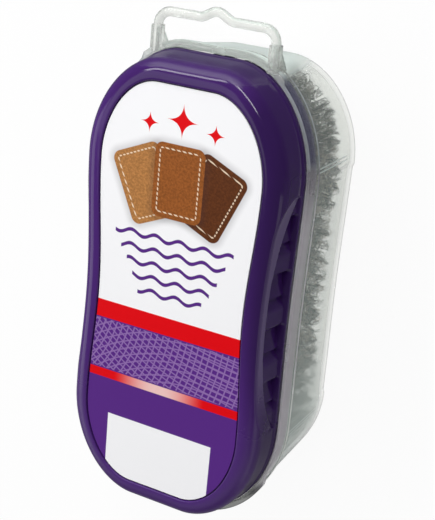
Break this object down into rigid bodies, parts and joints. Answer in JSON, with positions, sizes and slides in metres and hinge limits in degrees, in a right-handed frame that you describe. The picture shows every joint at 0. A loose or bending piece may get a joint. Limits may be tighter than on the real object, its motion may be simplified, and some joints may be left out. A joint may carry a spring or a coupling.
{
  "type": "shoe cleaning sponge",
  "caption": "Shoe sponge: hollow holder with a label, foam and a coarse fibre pad, plugged into a see-through tray with a hang loop.",
  "frame": {"origin": "middle of the tray's flat bottom face", "axes": "+Z out of the label, away from the tray's bottom; +Y along the length to the hang loop; +X across"},
  "size_m": [0.056, 0.1277, 0.0425],
  "materials": {
    "clear_plastic": "frosted, see-through",
    "purple_plastic": "glossy",
    "label_print": "printed film",
    "foam": "open-cell foam",
    "fibre": "curled coarse fibre"
  },
  "bodies": {
    "tray": {"cover_tray": "clear_plastic"},
    "sponge_head": {"holder_shell": "purple_plastic", "front_label": "label_print", "foam_sponge": "foam", "fibre_pad": "fibre"}
  },
  "joints": [
    {"name": "head_pull_out", "type": "slide", "parent": "tray", "child": "sponge_head", "axis": [0, 0, 1], "range_m": [0, 0.05]}
  ]
}
